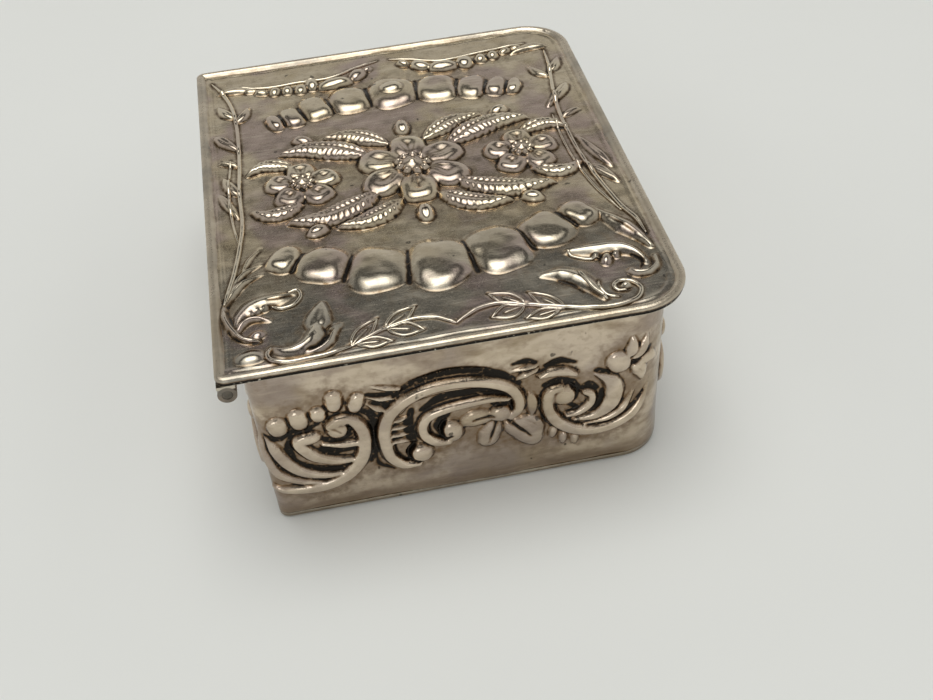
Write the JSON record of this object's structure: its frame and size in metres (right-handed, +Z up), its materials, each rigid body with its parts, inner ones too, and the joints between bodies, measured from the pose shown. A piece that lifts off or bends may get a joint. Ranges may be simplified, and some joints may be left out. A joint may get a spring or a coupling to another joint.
{
  "type": "keepsake box",
  "caption": "Small hinged silver keepsake box with a stamped lid of lobes, blossoms and leaf borders, scrolled walls, rounded corners on the opening side and an outside tube hinge.",
  "frame": {"origin": "middle of the base plate's underside", "axes": "+Z up, +X from the hinge to the opening edge, +Y along the hinge to the rear end"},
  "size_m": [0.0401, 0.05, 0.0196],
  "materials": {
    "stamped_silver": "stamped silver sheet, satin from wear, dark oxide left in the recesses",
    "plain_silver": "plain silver sheet with fine scratches and light tarnish",
    "hinge_silver": "drawn silver tube and wire, dull, dark at the joints"
  },
  "bodies": {
    "box": {"base_plate": "plain_silver", "wall_band": "stamped_silver", "body_hinge_leaf": "plain_silver", "body_knuckle": "hinge_silver", "hinge_pin": "hinge_silver"},
    "lid": {"lid_plate": "stamped_silver", "lid_backing_plate": "plain_silver", "lid_bezel": "plain_silver", "lid_hinge_leaf_front": "plain_silver", "lid_hinge_leaf_rear": "plain_silver", "lid_knuckle_front": "hinge_silver", "lid_knuckle_rear": "hinge_silver"}
  },
  "joints": [
    {"name": "lid_hinge", "type": "hinge", "parent": "box", "child": "lid", "pos_m": [-0.01947, 0, 0.01696], "axis": [0, -1, 0], "range_deg": [0, 180]}
  ]
}
